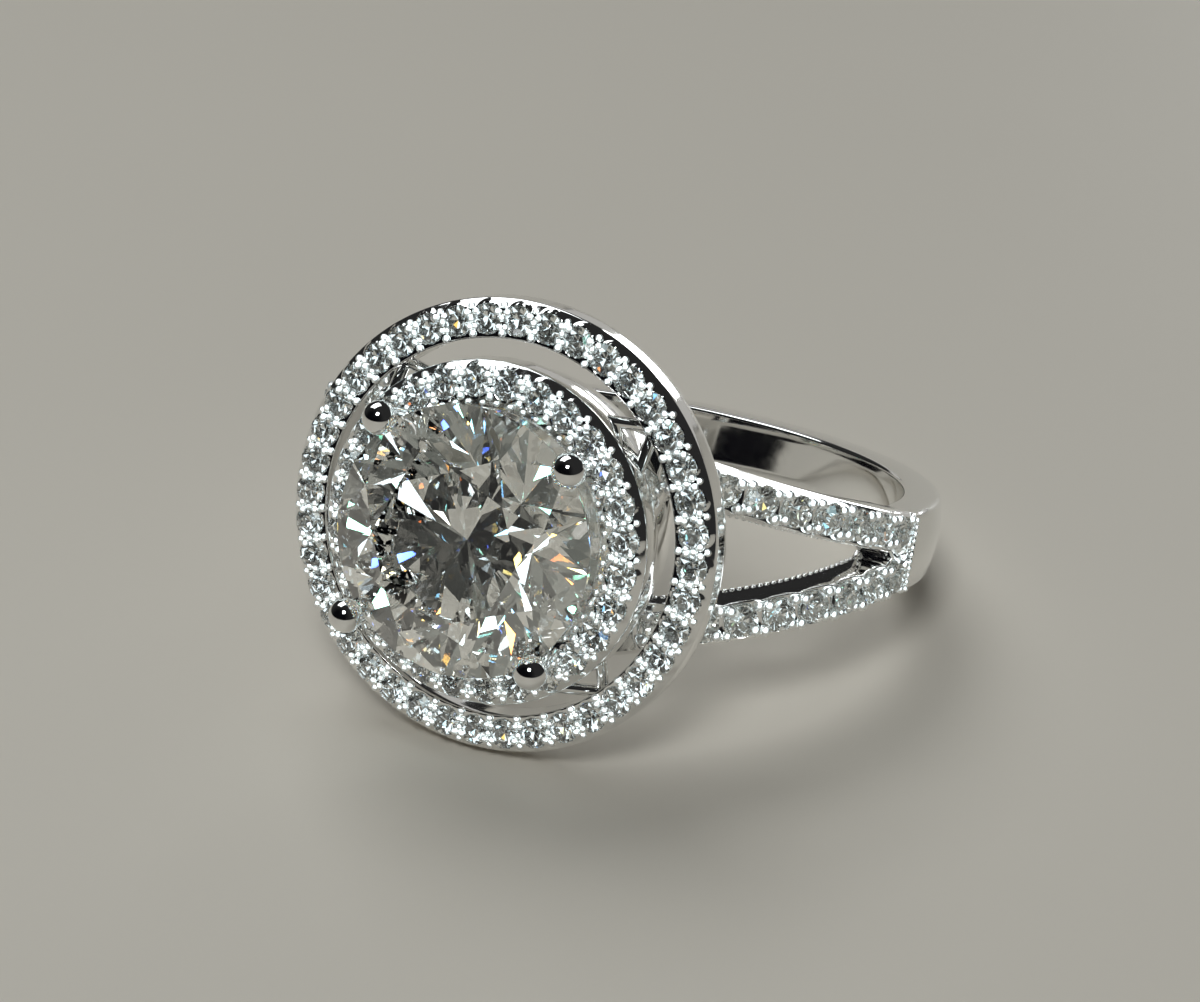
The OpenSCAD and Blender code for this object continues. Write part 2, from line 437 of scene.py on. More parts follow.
@dataclass(frozen=True)
class Cut:
    """A round cut stone with eightfold facets; its z = 0 is the girdle's upper edge."""

    diameter: float
    girdle: float
    table_share: float
    crown_slope: float
    pavilion_slope: float
    girdle_sides: int

    @property
    def radius(self) -> float:
        """Radius of the girdle."""
        return self.diameter / 2

    @property
    def rises(self) -> tuple[float, float]:
        """Rise of the crown and fall of the pavilion, for each millimetre inwards."""
        return math.tan(math.radians(self.crown_slope)), math.tan(math.radians(self.pavilion_slope))

    @property
    def tip(self) -> tuple[float, float, float]:
        """The lowest point."""
        return 0.0, 0.0, -self.girdle - self.rises[1] * self.radius

    def corners(self) -> np.ndarray | list[tuple]:
        """Works out the corners, which each cut does in its own way."""
        raise NotImplementedError

    def mesh(self) -> Mesh:
        """Makes the convex body of the cut's corners, with flat facets.

        Returns:
            The mesh, in millimetres.
        """
        work = bmesh.new()
        for point in self.corners():
            work.verts.new(point)
        hull = bmesh.ops.convex_hull(work, input=work.verts)
        loose = [g for g in hull["geom_interior"] if isinstance(g, bmesh.types.BMVert)]
        bmesh.ops.delete(work, geom=loose, context="VERTS")
        flat = math.radians(FACET_BEND)
        bmesh.ops.dissolve_limit(work, angle_limit=flat, verts=work.verts, edges=work.edges)
        return to_mesh(work, "cut")


@dataclass(frozen=True)
class Brilliant(Cut):
    """A round brilliant with 57 facets."""

    girdle: float = 0.12
    table_share: float = 0.57
    crown_slope: float = 34.5
    pavilion_slope: float = 40.8
    girdle_sides: int = 96
    star_share: float = 0.5
    lower_share: float = 0.77

    def corners(self) -> np.ndarray:
        """Works out the corners.

        Returns:
            The points.
        """
        up, down = self.rises
        half = math.cos(math.radians(SIXTEENTH))
        table_r = self.radius * self.table_share
        table_h = (self.radius - table_r) * up
        star_r = blend(table_r * half, self.radius, self.star_share)
        star_h = table_h - up * (star_r * half - table_r)
        main_x = (1 - self.lower_share) * self.radius
        lower_r, lower_h = main_x / half, -self.girdle - down * (self.radius - main_x)
        return np.concatenate([
            eight(table_r, table_h), eight(star_r, star_h, SIXTEENTH),
            eight(lower_r, lower_h, SIXTEENTH), [self.tip],
            self.girdle_edge(star_r, star_h, 0.0, np.minimum),
            self.girdle_edge(lower_r, lower_h, -self.girdle, np.maximum),
        ])

    def girdle_edge(
        self, tip_r: float, tip_h: float, edge_h: float, nearest: Callable
    ) -> np.ndarray:
        """Finds the scalloped line where the facets next to the girdle meet it.

        Args:
            tip_r: radius of the tips from which those facets run.
            tip_h: height of those tips.
            edge_h: height of the girdle's edge at the facets' corners.
            nearest: np.minimum for the crown and np.maximum for the pavilion.

        Returns:
            The points of the line.
        """
        angles = np.arange(self.girdle_sides) * FULL_TURN / self.girdle_sides
        line = np.array([polar(self.radius, a, edge_h) for a in angles])
        for k in range(16):
            tip = np.array(polar(tip_r, EIGHTH * (k // 2) + SIXTEENTH, tip_h))
            first, second = (
                np.array(polar(self.radius, SIXTEENTH * edge, edge_h)) for edge in (k, k + 1)
            )
            normal = np.cross(first - tip, second - tip)
            plane = tip[2] - ((line - tip)[:, :2] @ normal[:2]) / normal[2]
            line[:, 2] = nearest(line[:, 2], plane)
        return line


@dataclass(frozen=True)
class SingleCut(Cut):
    """A small stone with a table, eight crown facets and eight pavilion facets."""

    girdle: float = 0.03
    table_share: float = 0.56
    crown_slope: float = 36.0
    pavilion_slope: float = 41.0
    girdle_sides: int = 16

    def corners(self) -> list[tuple]:
        """Works out the corners.

        Returns:
            The points.
        """
        up, down = self.rises
        table_r = self.radius * self.table_share
        table_h = up * (self.radius - table_r * math.cos(math.radians(SIXTEENTH)))
        points = [*eight(table_r, table_h), self.tip]
        for k in range(self.girdle_sides):
            angle = FULL_TURN * k / self.girdle_sides
            short = self.radius * (1 - math.cos(math.radians(angle % EIGHTH - SIXTEENTH)))
            for height in (up * short, -self.girdle - down * short):
                points.append(polar(self.radius, angle, height))
        return points


@dataclass
class Seats:
    """Places on the metal: points, the way that each faces, and a size for each."""

    points: list = field(default_factory=list)
    facings: list = field(default_factory=list)
    sizes: list = field(default_factory=list)

    def add(self, point: Iterable[float], facing: Iterable[float], size: float) -> None:
        """Adds one seat.

        Args:
            point: where it is.
            facing: the way that it faces.
            size: how large the thing on it is.
        """
        self.points.append(tuple(point))
        self.facings.append(tuple(facing))
        self.sizes.append(size)

    def mesh(self) -> Mesh:
        """Makes a mesh of bare points that carries facing and size.

        Returns:
            The mesh.
        """
        made = bpy.data.meshes.new("seats")
        made.from_pydata(self.points, [], [])
        facing = made.attributes.new("facing", "FLOAT_VECTOR", "POINT")
        facing.data.foreach_set("vector", np.array(self.facings, float).ravel())
        size = made.attributes.new("size", "FLOAT", "POINT")
        size.data.foreach_set("value", np.array(self.sizes, float))
        return made


class Tree:
    """A geometry tree with named inputs."""

    def __init__(self, name: str, inputs: dict[str, str]) -> None:
        """Starts the tree.

        Args:
            name: the tree's name.
            inputs: for each input's name, the kind of value that it takes.
        """
        self.group = bpy.data.node_groups.new(name, "GeometryNodeTree")
        ports = self.group.interface
        ports.new_socket(name="Geometry", in_out="OUTPUT", socket_type="NodeSocketGeometry")
        self.keys = {
            key: ports.new_socket(
                name=key, in_out="INPUT", socket_type=f"NodeSocket{kind}"
            ).identifier
            for key, kind in {"Geometry": "Geometry", **inputs}.items()
        }
        self.given = self.node("NodeGroupInput").outputs

    def node(self, kind: str, feeds: dict | None = None, **settings: object) -> bpy.types.Node:
        """Adds a node, as add_node() does."""
        return add_node(self.group, kind, feeds, **settings)

    def close(self, geometry: bpy.types.Node) -> "Tree":
        """Ends the tree by making the result real and giving it its finish.

        Args:
            geometry: the node that makes the result.

        Returns:
            The tree.
        """
        solid = self.node("GeometryNodeRealizeInstances", {"Geometry": geometry})
        dressed = self.node(
            "GeometryNodeSetMaterial", {"Geometry": solid, "Material": self.given["Finish"]}
        )
        self.node("NodeGroupOutput", {"Geometry": dressed})
        return self

    def apply(self, piece: Object, values: dict) -> Mesh:
        """Runs the tree on a piece.

        Args:
            piece: the object whose mesh the tree starts from.
            values: for each named input, its value.

        Returns:
            The result as a plain mesh.
        """
        modifier = piece.modifiers.new(self.group.name, "NODES")
        modifier.node_group = self.group
        for name, value in values.items():
            modifier[self.keys[name]] = value
        return baked(piece, modifier)


def seat_tree() -> Tree:
    """Builds the tree that sets one template on every seat.

    Returns:
        The tree.
    """
    tree = Tree("set_on_seats", {
        "Template": "Object", "Size Spread": "Float", "Spin": "Float", "Wobble": "Float",
        "Seed": "Int", "Finish": "Material",
    })
    node, given = tree.node, tree.given

    def drawn(kind: str, least: object, most: object) -> bpy.types.Node:
        """Adds a random value for each seat, between two bounds."""
        bounds = {"Min": least, "Max": most, "Seed": given["Seed"]}
        return node("FunctionNodeRandomValue", bounds, data_type=kind)

    facing = node("GeometryNodeInputNamedAttribute", {"Name": "facing"}, data_type="FLOAT_VECTOR")
    size = node("GeometryNodeInputNamedAttribute", {"Name": "size"}, data_type="FLOAT")
    shake = drawn("FLOAT_VECTOR", (-1.0, -1.0, -1.0), (1.0, 1.0, 1.0))
    lean = node("ShaderNodeVectorMath", {0: shake, "Scale": given["Wobble"]}, operation="SCALE")
    way = node("ShaderNodeVectorMath", {0: facing, 1: lean}, operation="ADD")
    upright = node("FunctionNodeAlignRotationToVector", {"Vector": way}, axis="Z")
    spin = drawn("FLOAT", 0.0, given["Spin"])
    about = node("FunctionNodeAxisAngleToRotation", {"Axis": UP, "Angle": spin})
    turned = node(
        "FunctionNodeRotateRotation", {"Rotation": upright, "Rotate By": about},
        rotation_space="LOCAL",
    )
    least = node("ShaderNodeMath", {0: 1.0, 1: given["Size Spread"]}, operation="SUBTRACT")
    growth = drawn("FLOAT", least, 1.0)
    scale = node("ShaderNodeMath", {0: growth, 1: size}, operation="MULTIPLY")
    model = node("GeometryNodeObjectInfo", {"Object": given["Template"]})
    return tree.close(node("GeometryNodeInstanceOnPoints", {
        "Points": given["Geometry"], "Instance": model.outputs["Geometry"],
        "Rotation": turned, "Scale": scale,
    }))


def wire_tree() -> Tree:
    """Builds the tree that draws a round wire along every line.

    Returns:
        The tree.
    """
    tree = Tree("wire_along_lines", {"Thickness": "Float", "Sides": "Int", "Finish": "Material"})
    node, given = tree.node, tree.given
    girth = node("GeometryNodeInputNamedAttribute", {"Name": "girth"}, data_type="FLOAT")
    radius = node("ShaderNodeMath", {0: given["Thickness"], 1: 0.5}, operation="MULTIPLY")
    lines = node("GeometryNodeMeshToCurve", {"Mesh": given["Geometry"]})
    section = node(
        "GeometryNodeCurvePrimitiveCircle", {"Resolution": given["Sides"], "Radius": radius}
    )
    skin = node("GeometryNodeCurveToMesh", {
        "Curve": lines, "Profile Curve": section, "Scale": girth, "Fill Caps": True,
    })
    return tree.close(node("GeometryNodeSetShadeSmooth", {"Geometry": skin}))


@dataclass
class Workshop:
    """What every sub-assembly needs: the place, the finishes and the two trees."""

    place: RingPlace
    finishes: Finishes
    on_seats: Tree
    along_lines: Tree
    stone_wobble: float = 0.05
    grain_wobble: float = 0.08
    made: list = field(default_factory=list)

    def set_templates(
        self, seats: Seats, template: Mesh, finish: Material, seed: int,
        spread: float = 0.0, spin: float = 0.0, wobble: float = 0.0,
    ) -> Mesh:
        """Sets a template on every seat.

        Args:
            seats: where, facing which way, and how large.
            template: the mesh that is repeated, one millimetre or its own size.
            finish: the material of the result.
            seed: seed for the small differences.
            spread: how much smaller than its size a copy may be, as a share.
            spin: largest turn about the way that the seat faces, in radians.
            wobble: how far a copy may lean, as a share of upright.

        Returns:
            One plain mesh in millimetres.
        """
        model, base = show(template, "template"), show(seats.mesh(), "seats")
        result = self.on_seats.apply(base, {
            "Template": model, "Size Spread": spread, "Spin": spin, "Wobble": wobble,
            "Seed": seed, "Finish": finish,
        })
        drop(base)
        drop(model)
        return result

    def draw_wires(
        self, lines: np.ndarray, girth: np.ndarray, thickness: float, sides: int,
        finish: Material,
    ) -> Mesh:
        """Draws a wire along each line.

        Args:
            lines: the lines' points, as (lines, points in a line, 3).
            girth: how thick the wires are at each point, as a share.
            thickness: the wire's full thickness.
            sides: sides of the wire's section.
            finish: the material of the result.

        Returns:
            One plain mesh in millimetres.
        """
        many, count, _ = lines.shape
        index = np.arange(many * count).reshape(many, count)
        edges = np.stack([index[:, :-1], index[:, 1:]], axis=-1).reshape(-1, 2)
        mesh = bpy.data.meshes.new("lines")
        mesh.from_pydata(lines.reshape(-1, 3).tolist(), edges.tolist(), [])
        shares = mesh.attributes.new("girth", "FLOAT", "POINT")
        shares.data.foreach_set("value", np.tile(girth, many))
        base = show(mesh, "lines")
        result = self.along_lines.apply(
            base, {"Thickness": thickness, "Sides": sides, "Finish": finish}
        )
        drop(base)
        return result

    def finish_piece(
        self, mesh: Mesh, name: str, finish: Material,
        slot: Slot = Slot.METAL, node: Node = Node.MOUNTING,
    ) -> None:
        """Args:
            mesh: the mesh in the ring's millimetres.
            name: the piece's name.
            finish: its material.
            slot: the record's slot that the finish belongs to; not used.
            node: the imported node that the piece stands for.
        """
        mesh.name = name
        mesh.transform(self.place.matrix())
        mesh.materials.clear()
        mesh.materials.append(finish)
        piece = show(mesh, name)
        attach(piece, BODY)
        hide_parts(node.value)
        self.made.append(piece)
        LOG.info("%s: %d faces, stands for %s", name, len(mesh.polygons), node.value)

    def set_stones(self, seats: Seats, diameter: float, seed: int, name: str, node: Node) -> None:
        """Sets a field of small stones, each turned as it comes, as one piece.

        Args:
            seats: where the girdles' upper edges are.
            diameter: the stones' diameter.
            seed: seed for how they are turned.
            name: the piece's name.
            node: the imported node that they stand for.
        """
        small, cut = self.finishes.small, SingleCut(diameter).mesh()
        stones = self.set_templates(
            seats, cut, small, seed, spin=math.radians(EIGHTH), wobble=self.stone_wobble
        )
        self.finish_piece(stones, name, small, Slot.SMALL, node)

    def set_grains(self, seats: Seats, seed: int, spread: float, name: str) -> None:
        """Sets a field of raised grains as one piece.

        Args:
            seats: where the middles of their heads are.
            seed: seed for their differences.
            spread: how much smaller than its size a grain may be, as a share.
            name: the piece's name.
        """
        grain = self.finishes.grain
        grains = self.set_templates(
            seats, grain_mesh(), grain, seed, spread=spread, wobble=self.grain_wobble
        )
        self.finish_piece(grains, name, grain)


def ball_mesh(levels: int = 4) -> Mesh:
    """Makes a smooth ball one millimetre across.

    Args:
        levels: how finely it is divided.

    Returns:
        The mesh.
    """
    work = bmesh.new()
    bmesh.ops.create_icosphere(work, subdivisions=levels, radius=0.5)
    for face in work.faces:
        face.smooth = True
    return to_mesh(work, "ball")


def grain_mesh(stem: float = 1.1, sides: int = 9) -> Mesh:
    """Makes a raised grain: a low round head one millimetre across on a short stem.

    Args:
        stem: how far the stem runs below the head's middle.
        sides: sides of the grain.

    Returns:
        The mesh.
    """
    profile = ((0.2, 0.37), (0.36, 0.29), (0.47, 0.15), (0.5, 0.0), (0.46, -0.2), (0.4, -stem))
    angles = np.arange(sides) * FULL_TURN / sides
    shell = Shell()
    rings = np.array([[polar(r, a, h) for a in angles] for r, h in profile])
    shell.tube(rings, joined=False, crown=0.03)
    return shell.mesh("grain", GRAIN_SHARP)


@dataclass
class Halo:
    """The outer ring of small stones, with its rim, its bevel and its seats.

    A grain row holds how far out of the stones' row it lies, how far its grains stand to each
    side of the gap between two stones, and the grains' size.
    """

    shop: Workshop
    label: str = "outer_halo"
    node: Node = Node.OUTER
    outer_r: float = 6.4
    wall: float = 0.8
    edge_h: float = 9.7
    bevel: float = 0.3
    stone_count: int = 40
    seed: int = 11
    width: float = 1.1
    rise: float = 0.26
    stone_d: float = 0.82
    row_in: float = 0.56
    sink: float = 0.02
    first_turn: float = 43.0
    edge_round: float = 0.035
    round_steps: int = 6
    flat_steps: int = 30
    steps_per_stone: int = 24
    seat_reach: tuple = (0.0, 0.05, 0.38, 0.425, 0.445)
    seat_depth: tuple = (0.45, 0.45, 0.11, 0.05, 0.0)
    collar_r: float = 0.445
    collar_drop: float = 0.04
    collar_slope: float = 2.2
    grain_shift: float = 0.025
    grain_spread: float = 0.14
    grain_rows: tuple = (
        (0.355, 0.0, 0.23), (0.20, 0.13, 0.25), (0.01, 0.0, 0.22), (-0.22, 0.08, 0.22),
        (-0.42, 0.0, 0.26),
    )

    @property
    def inner_r(self) -> float:
        """Radius of the inner wall."""
        return self.outer_r - self.width

    @property
    def face_h(self) -> float:
        """Height of the flat face."""
        return self.edge_h + self.rise

    @property
    def row_r(self) -> float:
        """Radius of the row of stones."""
        return self.outer_r - self.row_in

    def stone_angles(self) -> np.ndarray:
        """Returns the angle of each stone about the head, in degrees."""
        return self.first_turn + FULL_TURN * (np.arange(self.stone_count) + 0.5) / self.stone_count

    def plain_height(self, radius: np.ndarray) -> np.ndarray:
        """Returns the height of the face and of its bevel, without the seats."""
        out_share = np.clip((radius - (self.outer_r - self.bevel)) / self.bevel, 0.0, 1.0)
        return self.face_h - self.rise * out_share

    def top_height(self, radius: np.ndarray, angle: np.ndarray) -> np.ndarray:
        """Gives the height of the top, with a collar and a seat for each stone.

        Args:
            radius: distances from the head's axis.
            angle: angles about it, in degrees.

        Returns:
            The heights.
        """
        step = FULL_TURN / self.stone_count
        apart = np.radians((angle - self.first_turn) % step - step / 2)
        reach = np.sqrt(radius**2 + self.row_r**2 - 2 * radius * self.row_r * np.cos(apart))
        drop_off = self.collar_slope * np.maximum(0.0, reach - self.collar_r)
        collar = self.face_h - self.collar_drop - drop_off
        cut = self.face_h - np.interp(reach, self.seat_reach, self.seat_depth)
        top = np.minimum(np.maximum(self.plain_height(radius), collar), cut)
        top = top - rounding(self.outer_r - radius, self.edge_round)
        return top - rounding(radius - self.inner_r, self.edge_round)

    def top_radii(self) -> np.ndarray:
        """Works out the radii across the top, from the outer wall to the inner one.

        Returns:
            The radii.
        """
        curl = corner(self.edge_round, 0, 90, self.round_steps)[:, 0]
        outer, inner = self.outer_r - curl, (self.inner_r + curl)[::-1]
        middle = np.linspace(outer[-1], inner[0], self.flat_steps)[1:-1]
        return np.concatenate([outer, middle, inner])

    def heel(self, bottom: float, outer_h: np.ndarray) -> list[tuple]:
        """Gives the lines of the outer wall, from its lower corner upwards.

        Args:
            bottom: height of the underside.
            outer_h: height of the top's outer edge, all round.

        Returns:
            A radius and a height for each line.
        """
        soft = self.edge_round
        lines = [(self.outer_r - out, bottom + up) for out, up in corner(soft, 90, 0)]
        return lines + [
            (self.outer_r, blend(outer_h, bottom + soft, s)) for s in reversed(QUARTERS)
        ]

    def below(self, outer_h: np.ndarray, inner_h: np.ndarray, turn: np.ndarray) -> list[tuple]:
        """Gives the section's lines below the top, here plain walls and a flat underside.

        Args:
            outer_h: height of the top's outer edge, all round.
            inner_h: height of its inner edge, all round.
            turn: the angles of these heights, in degrees.

        Returns:
            A radius and a height for each line, each a number or all round.
        """
        bottom, soft = self.edge_h - self.wall, self.edge_round
        lines = [(self.inner_r, blend(inner_h, bottom + soft, s)) for s in QUARTERS]
        lines += [(self.inner_r + out, bottom + up) for out, up in corner(soft, 0, 90)]
        return lines + self.heel(bottom, outer_h)

    def skin(self) -> np.ndarray:
        """Works out the closed sections all round.

        Returns:
            Points as (angles, points in a section, 3).
        """
        steps = self.stone_count * self.steps_per_stone
        turn = self.first_turn + FULL_TURN * np.arange(steps) / steps
        radii = self.top_radii()
        heights = self.top_height(radii, turn[:, None])
        lines = list(zip(radii, heights.T)) + self.below(heights[:, 0], heights[:, -1], turn)
        r, h = (
            np.stack([np.broadcast_to(line[k], turn.shape) for line in lines], axis=-1)
            for k in (0, 1)
        )
        a = np.radians(turn)[:, None]
        return np.stack([r * np.cos(a), r * np.sin(a), h], axis=-1)

    def stone_seats(self) -> Seats:
        """Works out a seat for each small stone, at its girdle's upper edge.

        Returns:
            The seats.
        """
        seats = Seats()
        for a in self.stone_angles():
            seats.add(polar(self.row_r, a, self.face_h - self.sink), UP, 1.0)
        return seats

    def grain_seats(self) -> Seats:
        """Works out the seats of the grains between each two stones, a little out of line.

        Returns:
            The seats.
        """
        seats = Seats()
        draws = np.random.default_rng(self.seed)
        for a in self.stone_angles() + FULL_TURN / self.stone_count / 2:
            for off, apart, size in self.grain_rows:
                for way in (-1, 1) if apart else (0,):
                    outwards, along = draws.uniform(-self.grain_shift, self.grain_shift, 2)
                    radius = self.row_r + off + outwards
                    turn = a + math.degrees((way * apart + along) / radius)
                    seats.add(polar(radius, turn, self.plain_height(radius)), UP, size)
        return seats

    def build(self) -> None:
        """Makes the metal, the stones and the grains."""
        shell = Shell()
        shell.tube(self.skin(), joined=True)
        shop, name = self.shop, self.label
        shop.finish_piece(shell.mesh(name, METAL_SHARP), name, shop.finishes.setting)
        shop.set_stones(
            self.stone_seats(), self.stone_d, self.seed, f"{name}_set_stones", self.node
        )
        shop.set_grains(self.grain_seats(), self.seed + 1, self.grain_spread, f"{name}_grains")


@dataclass
class BasketHalo(Halo):
    """The raised inner halo, on the basket whose foot is shaped to the finger."""

    label: str = "inner_halo_basket"
    node: Node = Node.INNER
    outer_r: float = 4.8
    wall: float = 0.85
    edge_h: float = 10.75
    bevel: float = 0.26
    stone_count: int = 28
    seed: int = 21
    width: float = 1.28
    grain_rows: tuple = (
        (0.355, 0.0, 0.23), (0.20, 0.13, 0.25), (0.01, 0.0, 0.22), (-0.22, 0.08, 0.22),
        (-0.41, 0.0, 0.25), (-0.58, 0.22, 0.20),
    )
    foot_r: float = 4.25
    top_r: float = 4.5
    swell: float = 0.12
    swell_from: float = 7.4
    thickness: float = 0.45
    ledge: float = 0.1
    floor_h: float = 9.05
    hole_r: float = 2.35
    bore_r: float = 8.5
    lip_shares: tuple = (0.3, 0.7, 1.0)
    wall_shares: tuple = (0.33, 0.67)
    foot_steps: int = 6
    up_steps: int = 12

    def below(self, outer_h: np.ndarray, inner_h: np.ndarray, turn: np.ndarray) -> list[tuple]:
        """Gives the section's lines below the top: the basket's walls, floor and foot.

        Args:
            outer_h: height of the top's outer edge, all round.
            inner_h: height of its inner edge, all round.
            turn: the angles of these heights, in degrees.

        Returns:
            A radius and a height for each line, each a number or all round.
        """
        under, soft, hole_r = self.edge_h - self.wall, self.edge_round, self.hole_r
        wall_r, ledge_h = self.top_r - self.thickness, under - self.ledge

        def on_finger(radius: float) -> np.ndarray:
            """Returns the finger's height under a radius, all round."""
            return np.sqrt(self.bore_r**2 - (radius * np.cos(np.radians(turn))) ** 2)

        lines = [(self.inner_r, blend(inner_h, under, s)) for s in self.lip_shares]
        lines.append((wall_r, ledge_h))
        for s in self.wall_shares:
            r = wall_r + (self.foot_r - self.top_r) * s
            lines.append((r, blend(ledge_h, self.floor_h, s)))
        lines += [
            (self.foot_r - self.thickness, self.floor_h), (hole_r + soft, self.floor_h),
            (hole_r, self.floor_h - soft), (hole_r, on_finger(hole_r) + soft),
        ]
        foot = np.linspace(hole_r + soft, self.foot_r - soft, self.foot_steps)
        lines += [(r, on_finger(r)) for r in foot]
        for s in np.linspace(0.0, 1.0, self.up_steps + 1):
            level = blend(on_finger(self.foot_r) + soft, under, s)
            up = np.clip((level - self.swell_from) / (under - self.swell_from), 0.0, 1.0)
            bulge = self.swell * np.sin(math.pi * up)
            lines.append((blend(self.foot_r, self.top_r, up) + bulge, level))
        return lines + self.heel(under, outer_h)


@dataclass
class Shank:
    """The plain band and the four arms of the split shank, with the stones in the arms.

    The arms' angles are about a centre that lies arm_taper below the bore's, so that the arms
    thin towards the head.
    """

    shop: Workshop
    bore_r: float = 8.5
    # The plain band, and how the shank widens from it.
    band_t: float = 1.3
    band_crown: float = 0.18
    band_round: float = 0.2
    shoulder: float = 0.95
    bore_round: float = 0.12
    end_round: float = 0.09
    back_w: float = 1.9
    back_run: float = 0.1
    side_w: float = 2.4
    band_steps: int = 260
    plain_end: float = 7.6
    spread_from: float = 5.7
    spread: float = 0.026
    flare: float = 0.00008
    steepest: float = 0.975
    # The arms.
    arm_t: float = 1.2
    arm_taper: float = 0.45
    arm_w: float = 1.27
    arm_start: float = 8.35
    arm_stop: float = 73.2
    arm_step: float = 0.24
    rim_steps: int = 5
    top_steps: int = 24
    split_from: float = 15.5
    edge_round: float = 0.07
    open_run: float = 0.15
    bevel_w: float = 0.2
    bevel_slope: float = 1.2
    draft: float = 0.09
    draft_run: float = 6.0
    hidden_shrink: float = 0.06
    hidden_run: tuple = (-0.8, -0.3)
    # The stones and their seats.
    stone_seed: int = 31
    stone_d: float = 0.92
    stone_deep: float = 0.4772
    stone_count: int = 8
    first: float = 12.9
    last: float = 61.4
    sink: float = 0.02
    fade_w: float = 0.06
    seat_reach: tuple = (0.0, 0.06, 0.48, 0.62, 0.8)
    seat_depth: tuple = (0.50, 0.50, 0.16, 0.12, 0.0)
    # The grains, the fine line where the rows start, and the beads inside the split.
    grain_seed: int = 41
    grain_spread: float = 0.18
    grain_d: float = 0.35
    grain_off: float = 0.36
    grain_apart: float = 0.165
    start_apart: float = 0.37
    line_turn: float = 10.1
    line_rise: float = 0.09
    line_inset: float = 0.2
    line_count: int = 11
    line_d: float = 0.2
    beading_seed: int = 43
    beading_spread: float = 0.2
    beading_stem: float = 0.6
    beading_sides: int = 8
    beading_d: float = 0.17
    beading_pitch: float = 0.21
    beading_run: tuple = (2.0, -8.0)
    beading_up: float = 0.08
    beading_in: float = 0.02

    @property
    def band_r(self) -> float:
        """Radius of the plain band at its crown."""
        return self.bore_r + self.band_t

    @property
    def arm_r(self) -> float:
        """Radius of the arms' outside, about their lowered centre."""
        return self.bore_r + self.arm_t

    @property
    def middle_r(self) -> float:
        """Radius halfway through the arms."""
        return (self.bore_r + self.arm_r) / 2

    @property
    def band_end_turn(self) -> float:
        """Where the plain band ends, as an angle about the arms' lowered centre."""
        height = self.band_r * math.sin(math.radians(self.plain_end)) + self.arm_taper
        return math.degrees(math.asin(height / self.arm_r))

    def half_width(self, angle: np.ndarray) -> np.ndarray:
        """Returns half of the shank's width at an angle above the side, in degrees."""
        past = np.maximum(0.0, angle - self.spread_from)
        return self.side_w / 2 + self.spread * past + self.flare * past**2

    def turn_at(self, height: np.ndarray) -> np.ndarray:
        """Returns the angle at which the middle of an arm has a height."""
        return np.degrees(np.arcsin(np.clip(height / self.middle_r, 0.0, self.steepest)))

    def outer_line(self, height: np.ndarray) -> np.ndarray:
        """Returns how far the arms' outer sides stand from the middle, at a height."""
        return self.half_width(self.turn_at(height))

    def inner_line(self, height: np.ndarray) -> np.ndarray:
        """Returns how far the arms' inner sides stand from the middle, at a height."""
        opened = np.clip(self.turn_at(height) - self.split_from + 1.0, 0.0, 1.0)
        return (self.outer_line(height) - self.arm_w) * np.sqrt(opened)

    def bore_reach(self, turn: float) -> float:
        """Returns how far the bore is from the arms' lowered centre, at an angle in radians."""
        aside = self.arm_taper * math.cos(turn)
        return self.arm_taper * math.sin(turn) + math.sqrt(self.bore_r**2 - aside**2)

    def band_section(self, half: float, inset: float) -> np.ndarray:
        """Gives the plain band's section as a closed loop.

        Args:
            half: half of the width.
            inset: how much smaller the section is all round, but for the bore.

        Returns:
            Pairs of radius and y.
        """
        crown_r = ((self.side_w / 2) ** 2 + self.band_crown**2) / (2 * self.band_crown)
        soft_in, soft_out = self.bore_round, self.band_round
        half = half - inset

        def crown(y: float) -> float:
            """Returns the outside's radius across the band."""
            return self.band_r - inset - crown_r + math.sqrt(crown_r**2 - y**2)

        rise = soft_out * self.shoulder
        side_top = crown(half - soft_out) - rise
        loop = [(self.bore_r, y) for y in np.linspace(0.0, half - soft_in, 4)[:-1]]
        loop += [(self.bore_r + out, half - up) for out, up in corner(soft_in, 0, 90, 6)]
        loop.append(((self.bore_r + soft_in + side_top) / 2, half))
        for a in arc(0, 90, 8):
            loop.append((side_top + rise * math.sin(a), half - soft_out * (1 - math.cos(a))))
        loop += [(crown(y), y) for y in np.linspace(half - soft_out, 0.0, 9)[1:]]
        right = np.array(loop)
        return np.concatenate([right, right[-2:0:-1] * (1.0, -1.0)])

    def build_band(self) -> None:
        """Makes the plain band, from one arm's end round the back to the other's."""
        steps = [
            (self.plain_end - math.degrees(back / self.band_r), inset)
            for back, inset in corner(self.end_round, 0, 90, 6)
        ]
        middle = np.linspace(steps[-1][0], -180.0 - steps[-1][0], self.band_steps)[1:-1]
        turns = steps + [(t, 0.0) for t in middle]
        turns += [(-180.0 - t, inset) for t, inset in reversed(steps)]
        ends = (self.spread_from, self.plain_end)
        lifts = [self.band_r * math.sin(math.radians(turn)) for turn in ends]
        levels = [-self.band_r - self.back_run, 0.0, *lifts]
        side = self.side_w / 2
        halves = [self.back_w / 2, side, side, self.half_width(self.plain_end)]
        rings = []
        for turn, inset in turns:
            sine, cosine = math.sin(math.radians(turn)), math.cos(math.radians(turn))
            half = float(np.interp(self.band_r * sine, levels, halves))
            radius, y = self.band_section(half, inset).T
            rings.append(np.stack([radius * cosine, y, radius * sine], axis=-1))
        shell = Shell()
        shell.tube(np.array(rings), joined=False)
        mesh = shell.mesh("plain_band", BAND_SHARP)
        self.shop.finish_piece(mesh, "plain_band", self.shop.finishes.shank)

